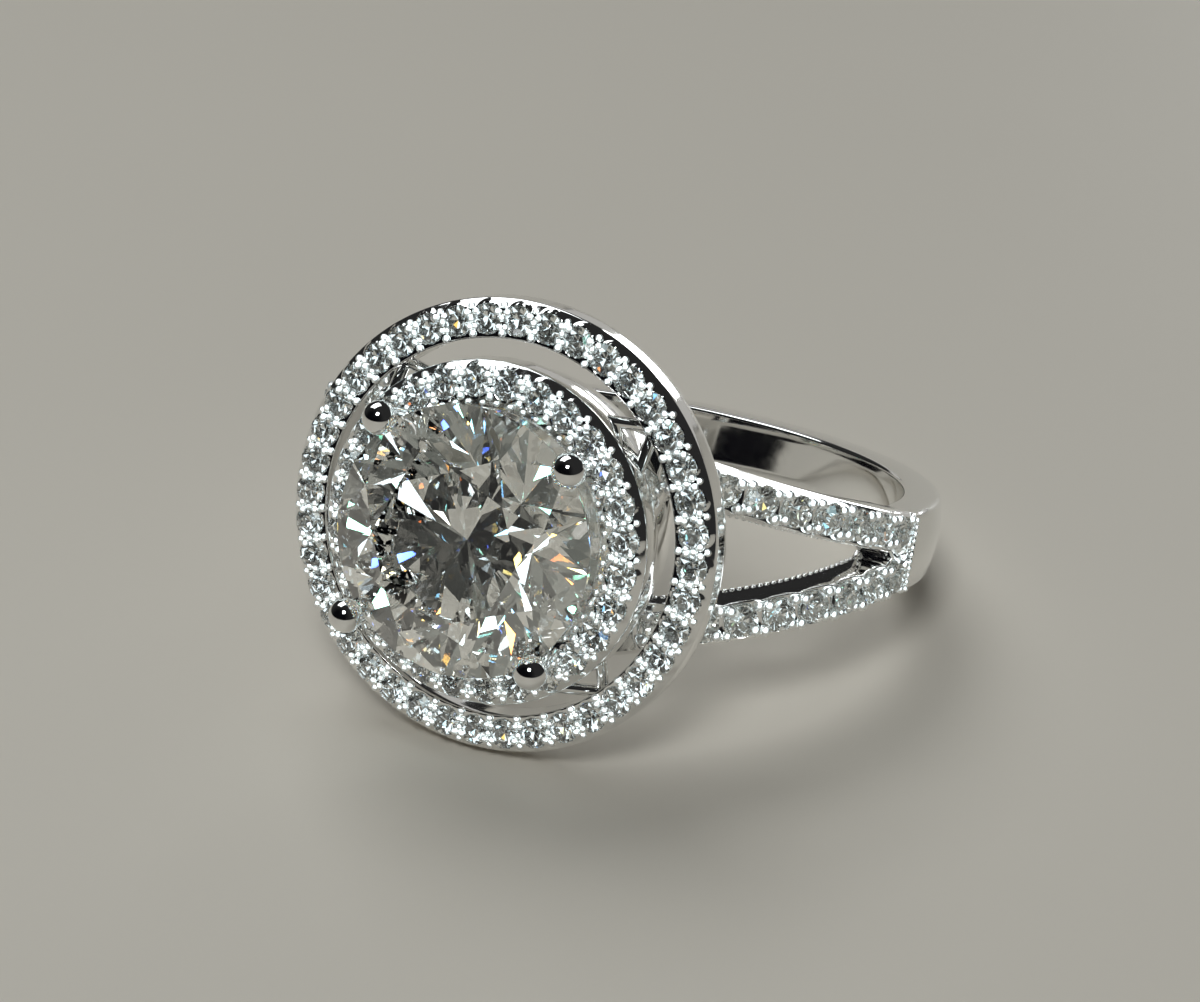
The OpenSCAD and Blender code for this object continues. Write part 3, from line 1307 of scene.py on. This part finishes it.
    def stone_places(self) -> list[tuple[float, float]]:
        """Works out where the stones of one side's upper row lie.

        Returns:
            The angle and the y of each.
        """
        angles = np.linspace(self.first, self.last, self.stone_count)
        heights = (self.arm_r - self.stone_deep / 2) * np.sin(np.radians(angles)) - self.arm_taper
        return list(zip(angles, self.outer_line(heights) - self.arm_w / 2))

    def cut_depth(self, angle: float, y: np.ndarray, rim: float) -> np.ndarray:
        """Gives how deep the seats are cut along a line across an arm.

        Args:
            angle: the line's angle above the side.
            y: places along the line.
            rim: where the outer bevel starts, which only the stones themselves cut into.

        Returns:
            The depth at each place.
        """
        deepest = np.zeros_like(y)
        open_share = np.clip((rim - y) / self.fade_w, 0.0, 1.0)
        for at, middle in self.stone_places():
            along = math.radians(angle - at) * self.arm_r
            for row in (middle, -middle):
                reach = np.hypot(along, y - row)
                deep = np.interp(reach, self.seat_reach, self.seat_depth)
                deep = np.where(reach > self.seat_reach[2], deep * open_share, deep)
                deepest = np.maximum(deepest, deep)
        return deepest

    def arm_ring(self, angle: float) -> np.ndarray:
        """Gives one closed section of the upper right arm.

        Args:
            angle: angle above the side, about the arms' lowered centre.

        Returns:
            The section's points.
        """
        turn = math.radians(angle)
        sine, cosine = math.sin(turn), math.cos(turn)
        top_h = self.arm_r * sine - self.arm_taper
        past = angle - self.band_end_turn
        shrink = float(np.interp(past, self.hidden_run, (self.hidden_shrink, 0.0)))
        draft = float(np.interp(past, (0.0, self.draft_run), (0.0, self.draft)))
        outer = self.outer_line(top_h) - shrink - draft / 2
        inner = self.inner_line(top_h)
        rim = outer - self.bevel_w
        soft = self.edge_round
        curl = corner(soft, 0, 90, 5)[:, 0]
        y = np.concatenate([
            outer - curl, np.linspace(outer - soft, rim, self.rim_steps)[1:],
            np.linspace(rim, inner + soft, self.top_steps)[1:-1], (inner + curl)[::-1],
        ])
        opened = np.clip(inner / self.open_run, 0.0, 1.0)
        depth = np.maximum(0.0, y - rim) * self.bevel_slope
        depth = depth + rounding(outer - y, soft) + rounding(y - inner, soft) * opened
        top = self.arm_r - np.maximum(depth, shrink) - self.cut_depth(angle, y, rim)
        bore = self.bore_reach(turn) + shrink / 4

        def walled(line: Callable, reach: np.ndarray, inset: np.ndarray, way: int) -> np.ndarray:
            """Gives points of a side wall.

            Args:
                line: how far the wall stands from the middle, at a height.
                reach: the points' distances from the arms' lowered centre.
                inset: how far the points stand in from the line.
                way: 1 for the outer wall, which leans by the draft, and -1 for the inner one.

            Returns:
                Pairs of distance and y.
            """
            lean = draft * ((reach - bore) / (self.arm_r - bore) - 0.5) if way > 0 else 0.0
            side = line(reach * sine - self.arm_taper) - way * inset - lean
            return np.stack([reach, side], axis=-1)

        down = np.array(QUARTERS)
        out, up = corner(soft, 0, 90).T
        inner_wall = np.concatenate([
            walled(self.inner_line, blend(top[-1], bore + soft, down), 0.0, -1),
            walled(self.inner_line, bore + up, out * opened, -1),
        ])
        outer_wall = np.concatenate([
            walled(self.outer_line, blend(top[0], bore + soft, down), shrink, 1),
            walled(self.outer_line, bore + up, out + shrink, 1),
        ])
        far = walled(self.outer_line, bore, soft, 1)[1]
        under = np.stack([np.full(3, bore), blend(inner_wall[-1, 1], far, down)], axis=-1)
        reach, y = np.concatenate([
            np.stack([top, y], axis=-1), inner_wall, under, outer_wall[::-1],
        ]).T
        return np.stack([reach * cosine, y, reach * sine - self.arm_taper], axis=-1)

    def build_arms(self) -> None:
        """Makes the four arms as one piece."""
        steps = round((self.arm_stop - self.arm_start) / self.arm_step) + 1
        angles = np.linspace(self.arm_start, self.arm_stop, steps)
        rings = np.array([self.arm_ring(a) for a in angles])
        shell = Shell()
        for across, along in itertools.product((1, -1), repeat=2):
            shell.tube(rings * (across, along, 1.0), joined=False)
        mesh = shell.mesh("split_arms", METAL_SHARP)
        self.shop.finish_piece(mesh, "split_arms", self.shop.finishes.shank)

    def on_arm(self, side: Side, angle: float, y: float, depth: float) -> tuple[tuple, tuple]:
        """Gives a point on an arm and the way that it faces.

        Args:
            side: the side of the ring.
            angle: angle above the side, about the arms' lowered centre.
            y: place along the finger.
            depth: how far the point lies under the arm's outside.

        Returns:
            The point and the facing.
        """
        turn = math.radians(angle)
        facing = (side.value * math.cos(turn), 0.0, math.sin(turn))
        reach = self.arm_r - depth
        return (reach * facing[0], y, reach * facing[2] - self.arm_taper), facing

    def build_stones(self, side: Side, node: Node) -> None:
        """Sets the stones of one side.

        Args:
            side: the side of the ring.
            node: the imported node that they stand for.
        """
        seats = Seats()
        for (angle, middle), row in itertools.product(self.stone_places(), (-1, 1)):
            seats.add(*self.on_arm(side, angle, row * middle, self.sink), 1.0)
        name = f"{side.name.lower()}_arm_set_stones"
        self.shop.set_stones(seats, self.stone_d, self.stone_seed + side.value, name, node)

    def build_grains(self) -> None:
        """Raises four grains between each two stones of a row, and a line where rows start."""
        seats = Seats()
        places = self.stone_places()
        step = (self.last - self.first) / (self.stone_count - 1)
        gaps = [(self.first - math.degrees(self.start_apart / self.arm_r), places[0][1], (0,))]
        gaps += [((a + b) / 2, (y + z) / 2, (-1, 1)) for (a, y), (b, z) in zip(places, places[1:])]
        gaps.append((self.last + step / 2, places[-1][1], (-1,)))
        apart = math.degrees(self.grain_apart / self.arm_r)
        offs = (-self.grain_off, self.grain_off)
        reach = self.half_width(self.plain_end) - self.line_inset
        for side in Side:
            for angle, middle, ways in gaps:
                for row, off, way in itertools.product((-1, 1), offs, ways):
                    place = self.on_arm(side, angle + way * apart, row * (middle + off), self.sink)
                    seats.add(*place, self.grain_d)
            for y in np.linspace(-reach, reach, self.line_count):
                seats.add(*self.on_arm(side, self.line_turn, y, -self.line_rise), self.line_d)
        self.shop.set_grains(seats, self.grain_seed, self.grain_spread, "arm_grains")

    def build_beading(self) -> None:
        """Runs a fine row of beads along the finger-side edges of the opening in the split."""
        seats = Seats()
        step = math.degrees(self.beading_pitch / self.bore_r)
        start, stop = self.split_from + self.beading_run[0], self.arm_stop + self.beading_run[1]
        for turn in np.radians(np.arange(start, stop, step)):
            reach = self.bore_reach(turn) + self.beading_up
            height = reach * math.sin(turn) - self.arm_taper
            y = self.inner_line(height) + self.beading_in
            for side, row in itertools.product(Side, (-1, 1)):
                point = (side.value * reach * math.cos(turn), row * y, height)
                seats.add(point, (0.0, -row, 0.0), self.beading_d)
        finish = self.shop.finishes.shank
        bead = grain_mesh(self.beading_stem, self.beading_sides)
        beads = self.shop.set_templates(
            seats, bead, finish, self.beading_seed, spread=self.beading_spread
        )
        self.shop.finish_piece(beads, "split_beading", finish)

    def build(self) -> None:
        """Makes the whole shank."""
        self.build_band()
        self.build_arms()
        self.build_stones(Side.RIGHT, Node.RIGHT)
        self.build_stones(Side.LEFT, Node.LEFT)
        self.build_grains()
        self.build_beading()


@dataclass
class Head:
    """The centre stone, its four claws, and the wires between the halos."""

    shop: Workshop
    stone: Brilliant = Brilliant(7.5)
    girdle_top: float = 12.22
    claw_d: float = 0.7
    claw_sides: int = 24
    claw_points: int = 9
    thin_from: float = 0.8
    claw_thin: float = 0.92
    ball_d: float = 0.95
    ball_seed: int = 3
    tip_r: float = 3.98
    tip_h: float = 12.6
    foot_r: float = 3.05
    foot_h: float = 8.85
    first_turn: float = 43.0
    bridge_d: float = 0.36
    bridge_sides: int = 18
    bridge_points: int = 6
    bridge_spread: float = 11.0
    bridge_from: tuple = (5.4, 9.3)
    bridge_to: tuple = (4.6, 10.18)
    gap: float = 0.03

    @property
    def claw_turns(self) -> list[float]:
        """The claws' angles about the head, in degrees."""
        return [self.first_turn + 90.0 * k for k in range(4)]

    def build_stone(self) -> None:
        """Makes the centre stone."""
        mesh = self.stone.mesh()
        mesh.transform(Matrix.Translation((0.0, 0.0, self.girdle_top)))
        finish = self.shop.finishes.centre
        self.shop.finish_piece(mesh, "centre_brilliant", finish, Slot.CENTRE, Node.CENTRE)

    def build_claws(self) -> None:
        """Makes the claws' wires with their balls, cut back where the stone sits."""
        finish = self.shop.finishes.setting
        lines, balls = [], Seats()
        shares = np.linspace(0.0, 1.0, self.claw_points)
        for turn in self.claw_turns:
            foot = np.array(polar(self.foot_r, turn, self.foot_h))
            tip = np.array(polar(self.tip_r, turn, self.tip_h))
            lines.append(foot + (tip - foot) * shares[:, None])
            balls.add(tip, tip - foot, self.ball_d)
        girth = np.interp(shares, [self.thin_from, 1.0], [1.0, self.claw_thin])
        wires = self.shop.draw_wires(np.array(lines), girth, self.claw_d, self.claw_sides, finish)
        tips = self.shop.set_templates(balls, ball_mesh(), finish, self.ball_seed)
        for mesh, name in ((wires, "claw_wires"), (tips, "claw_balls")):
            self.shop.finish_piece(self.cut_for_stone(mesh), name, finish)

    def cut_for_stone(self, mesh: Mesh) -> Mesh:
        """Takes the room of the centre stone out of a mesh.

        Args:
            mesh: the mesh, in millimetres.

        Returns:
            The mesh that is left.
        """
        room = self.stone.mesh()
        grow = Matrix.Scale(1 + 2 * self.gap / self.stone.diameter, 4)
        room.transform(Matrix.Translation((0.0, 0.0, self.girdle_top)) @ grow)
        cutter, target = show(room, "room"), show(mesh, "target")
        modifier = target.modifiers.new("notch", "BOOLEAN")
        modifier.operation = "DIFFERENCE"
        modifier.solver = "EXACT"
        modifier.object = cutter
        result = baked(target, modifier)
        drop(target)
        drop(cutter)
        return result

    def build_bridges(self) -> None:
        """Makes the pairs of wires that hold the outer halo, one pair at each claw."""
        (from_r, from_h), (to_r, to_h) = self.bridge_from, self.bridge_to
        count = self.bridge_points
        lines = np.array([
            np.linspace(polar(from_r, turn, from_h), polar(to_r, turn + aside, to_h), count)
            for turn in self.claw_turns for aside in (-self.bridge_spread, self.bridge_spread)
        ])
        finish = self.shop.finishes.setting
        mesh = self.shop.draw_wires(
            lines, np.ones(count), self.bridge_d, self.bridge_sides, finish
        )
        self.shop.finish_piece(mesh, "bridge_wires", finish)

    def build(self) -> None:
        """Makes the whole head but for the halos."""
        self.build_stone()
        self.build_claws()
        self.build_bridges()


class Lit(Enum):
    """What a lamp lights."""

    METAL = "metal_and_floor"
    SHANK = "shank_alone"
    GRAINS = "grains"
    CENTRE = "centre_stone_alone"
    SMALL = "small_stones"


@dataclass(frozen=True)
class Lamp:
    """A soft box that faces the ring, with its width and height in degrees."""

    name: str
    towards: tuple[float, float, float]
    width: float
    height: float
    strength: float
    lit: Lit
    tint: Colour = (1.0, 1.0, 1.0)
    distance: float = 0.4

    def hang(self, target: Vector, lit: dict) -> Object:
        """Puts the lamp up.

        Args:
            target: the point that it faces.
            lit: for each kind of thing, the collection that holds it.

        Returns:
            The lamp.
        """
        data = bpy.data.lights.new(self.name, "AREA")
        data.shape = "RECTANGLE"
        data.size, data.size_y = (
            2 * self.distance * math.tan(math.radians(angle / 2))
            for angle in (self.width, self.height)
        )
        data.energy = self.strength * math.pi * data.size * data.size_y
        data.color = self.tint
        lamp = show(data, self.name)
        way = Vector(self.towards).normalized()
        lamp.location = target + way * self.distance
        lamp.rotation_euler = way.to_track_quat("Z", "Y").to_euler()
        lamp.light_linking.receiver_collection = lit[self.lit]
        return lamp


@dataclass(frozen=True)
class Spectrum:
    """The colours across a small lamp, which a cut stone shows as its fire."""

    stops: tuple = (
        (0.0, (0.08, 0.14, 1.0)), (0.16, (0.28, 0.70, 1.0)), (0.28, (0.30, 0.95, 0.55)),
        (0.38, (0.66, 0.93, 1.0)), (0.66, (0.92, 1.0, 1.0)), (0.80, (1.0, 0.80, 0.18)),
        (1.0, (1.0, 0.20, 0.05)),
    )

    def dress(self, data: Light) -> None:
        """Gives a lamp these colours, from one side to the other.

        Args:
            data: the lamp's data.
        """
        data.use_nodes = True
        tree = data.node_tree
        place = add_node(tree, "ShaderNodeNewGeometry").outputs["Parametric"]
        parts = add_node(tree, "ShaderNodeSeparateXYZ", {"Vector": place})
        ramp = add_node(tree, "ShaderNodeValToRGB", {0: parts})
        bands = ramp.color_ramp.elements
        while len(bands) < len(self.stops):
            bands.new(0.5)
        for band, (position, colour) in zip(bands, self.stops):
            band.position = position
            band.color = (*colour, 1.0)
        feed(tree.nodes["Emission"], {"Color": ramp})


@dataclass
class Studio:
    """The pale floor, the soft light and the camera."""

    place: RingPlace
    pieces: list
    floor_half: float = 0.6
    floor_tint: Colour = (0.76, 0.71, 0.62)
    floor_shade: float = 0.97
    floor_cloud: float = 40.0
    floor_rough: float = 0.6
    camera_at: tuple = (0.02689, -0.0646994, 0.0412278)
    camera_right: tuple = (0.9137199, 0.4043522, 0.0401897)
    camera_up: tuple = (-0.2236909, 0.4179626, 0.8804940)
    camera_back: tuple = (0.3392319, -0.8135150, 0.4723506)
    lens: float = 78.0
    lamps: tuple = (
        Lamp("key_box", (0.12, -0.62, 0.77), 16, 16, 14.0, Lit.METAL, (0.95, 0.985, 1.0)),
        Lamp("top_box", (-0.45, 0.30, 0.85), 40, 34, 2.4, Lit.METAL, (0.96, 0.99, 1.0)),
        Lamp("back_box", (0.035, 0.99, 0.145), 19, 8, 6.0, Lit.METAL, (0.96, 0.99, 1.0)),
        Lamp("horizon_box", (0.0, 0.99, 0.085), 90, 10, 0.42, Lit.METAL, (1.0, 0.98, 0.93)),
        Lamp("rim_box", (0.30, 0.65, 0.7), 34, 52, 2.6, Lit.SHANK, (0.95, 0.985, 1.0)),
        Lamp("grain_box", (0.10, -0.70, 0.71), 118, 118, 3.4, Lit.GRAINS, (0.82, 0.965, 1.0)),
        Lamp("centre_key", (0.05, -0.70, 0.71), 13, 13, 2.6, Lit.CENTRE, (0.80, 0.95, 1.0)),
        Lamp("small_key", (0.05, -0.70, 0.71), 28, 28, 1.7, Lit.SMALL, (0.84, 0.97, 1.0)),
    )
    target_h: float = 6.0
    flash_count: int = 56
    flash_start: float = 80.0
    flash_size: tuple = (6.5, 3.8)
    flash_strength: float = 8.0
    flash_turn: float = 1.7
    glint_count: int = 18
    glint_size: tuple = (11.0, 11.0)
    glint_strength: float = 2.1
    glints_per_fire: int = 4
    glint_tint: Colour = (0.80, 0.96, 1.0)
    front_reach: float = 84.0
    lowest: float = 0.1
    dark_way: tuple = (-0.30, -0.93, 0.20)
    dark_zone: tuple = (75.0, 40.0)
    dark_room: Colour = (0.003, 0.003, 0.004)
    light_room: Colour = (0.022, 0.022, 0.022)
    stone_room: Colour = (0.225, 0.235, 0.205)
    stone_dark: Colour = (0.03, 0.03, 0.028)
    backdrop: Colour = (0.42, 0.41, 0.38)

    def sort_pieces(self) -> dict:
        """Gathers the things that are lit by themselves.

        Returns:
            For each kind of thing, a collection of it.
        """
        lit = {kind: bpy.data.collections.new(kind.value) for kind in Lit}
        kinds = {
            "centre_crystal_cut": (Lit.CENTRE,), "small_crystal_cut": (Lit.SMALL,),
            "raised_grain": (Lit.METAL, Lit.GRAINS), "polished_shank": (Lit.METAL, Lit.SHANK),
        }
        for piece in self.pieces:
            for kind in kinds.get(piece.material_slots[0].material.name, (Lit.METAL,)):
                lit[kind].objects.link(piece)
        lit[Lit.METAL].objects.link(bpy.data.objects["floor"])
        return lit

    def lay_floor(self) -> None:
        """Lays the plain pale floor."""
        half = self.floor_half
        mesh = bpy.data.meshes.new("floor")
        corners = [(-half, -half, 0), (half, -half, 0), (half, half, 0), (-half, half, 0)]
        mesh.from_pydata(corners, [], [(0, 1, 2, 3)])
        made, tree, shader = new_material("pale_floor")
        place = add_node(tree, "ShaderNodeTexCoord").outputs["Object"]
        cloud = add_node(
            tree, "ShaderNodeTexNoise", {"Vector": place, "Scale": self.floor_cloud}
        )
        shaded = tuple(self.floor_shade * c for c in self.floor_tint)
        tint = mix(tree, cloud, self.floor_tint, shaded)
        feed(shader, {"Base Color": tint, "Roughness": self.floor_rough})
        mesh.materials.append(made)
        floor = show(mesh, "floor")

    def front_ways(self, count: int, start: float = 0.0) -> list[Vector]:
        """Spreads directions evenly over the front, on a spiral about the head.

        Args:
            count: how many directions the whole spiral has.
            start: the angle at which it starts, in degrees.

        Returns:
            Those that come from above the floor.
        """
        head = (self.place.point(0.0, 0.0, 1.0) - self.place.point(0.0, 0.0, 0.0)).normalized()
        side = Vector((1.0, 0.0, 0.0))
        up = head.cross(side)
        span = 1 - math.cos(math.radians(self.front_reach))
        ways = []
        for number in range(count):
            cosine = 1 - span * (number + 0.5) / count
            turn = math.radians(start + number * GOLDEN_TURN)
            outwards = side * math.cos(turn) + up * math.sin(turn)
            ways.append(head * cosine + outwards * math.sqrt(1 - cosine**2))
        return [way for way in ways if way.z > self.lowest]

    def hang_small_lamps(self, target: Vector, lit: dict) -> None:
        """Hangs the lamps that the facets split into flashes and glints.

        Args:
            target: the point that they face.
            lit: for each kind of thing, the collection that holds it.
        """
        for number, way in enumerate(self.front_ways(self.flash_count, self.flash_start)):
            name = f"flash_{number}"
            lamp = Lamp(name, tuple(way), *self.flash_size, self.flash_strength, Lit.CENTRE)
            hung = lamp.hang(target, lit)
            hung.rotation_euler.rotate_axis("Z", self.flash_turn * number)
            Spectrum().dress(hung.data)
        for number, way in enumerate(self.front_ways(self.glint_count)):
            looks = (*self.glint_size, self.glint_strength, Lit.SMALL, self.glint_tint)
            hung = Lamp(f"glint_{number}", tuple(way), *looks).hang(target, lit)
            if number % self.glints_per_fire == 1:
                Spectrum().dress(hung.data)

    def light(self) -> None:
        """Hangs the lamps and dims the room, more in front and less inside the stones."""
        target = self.place.point(0.0, 0.0, self.target_h)
        lit = self.sort_pieces()
        for lamp in self.lamps:
            lamp.hang(target, lit)
        self.hang_small_lamps(target, lit)
        world = bpy.data.worlds.new("room")
        world.use_nodes = True
        tree = world.node_tree
        way = add_node(tree, "ShaderNodeTexCoord").outputs["Generated"]
        dark_way = Vector(self.dark_way).normalized()
        near = add_node(
            tree, "ShaderNodeVectorMath", {0: way, 1: dark_way}, operation="DOT_PRODUCT"
        )
        wide, narrow = (math.cos(math.radians(a)) for a in self.dark_zone)
        fade = add_node(
            tree, "ShaderNodeMapRange", {"Value": near, "From Min": wide, "From Max": narrow}
        )
        path = add_node(tree, "ShaderNodeLightPath").outputs
        inside = add_node(
            tree, "ShaderNodeMath", {0: path["Transmission Depth"], 1: 0.5},
            operation="GREATER_THAN",
        )
        room = mix(tree, fade, self.light_room, self.dark_room)
        seen = mix(tree, fade, self.stone_room, self.stone_dark)
        room = mix(tree, inside, room, seen)
        room = mix(tree, path["Is Camera Ray"], room, self.backdrop)
        feed(tree.nodes["Background"], {"Color": room})
        bpy.context.scene.world = world

    def place_camera(self) -> None:
        """Sets the camera at the photograph's viewing angle."""
        data = bpy.data.cameras.new("camera")
        data.sensor_width = 36.0
        data.lens = self.lens
        data.clip_start = 0.001
        data.clip_end = 10.0
        camera = show(data, "camera")
        turn = Matrix((self.camera_right, self.camera_up, self.camera_back)).transposed()
        camera.matrix_world = Matrix.Translation(self.camera_at) @ turn.to_4x4()
        bpy.context.scene.camera = camera

    def tune(self) -> None:
        """Lets light pass often enough through the stones, and sets how brightness is shown."""
        scene = bpy.context.scene
        scene.cycles.max_bounces = 24
        scene.cycles.glossy_bounces = 16
        scene.cycles.transmission_bounces = 16
        scene.view_settings.view_transform = "Standard"
        scene.view_settings.look = "None"

    def build(self) -> None:
        """Makes the whole studio."""
        self.lay_floor()
        self.light()
        self.place_camera()
        self.tune()


def main() -> None:
    """Builds the ring and its studio, and reports each piece."""
    logging.basicConfig(level=logging.INFO, format="%(name)s: %(message)s")
    place = RingPlace.from_record(frame["record"])
    shop = Workshop(place, Finishes.mixed(), seat_tree(), wire_tree())
    for part in (Shank(shop), BasketHalo(shop), Halo(shop), Head(shop)):
        part.build()
        LOG.info("%s is made", type(part).__name__)
    Studio(place, shop.made).build()


if __name__ == "__main__":
    main()
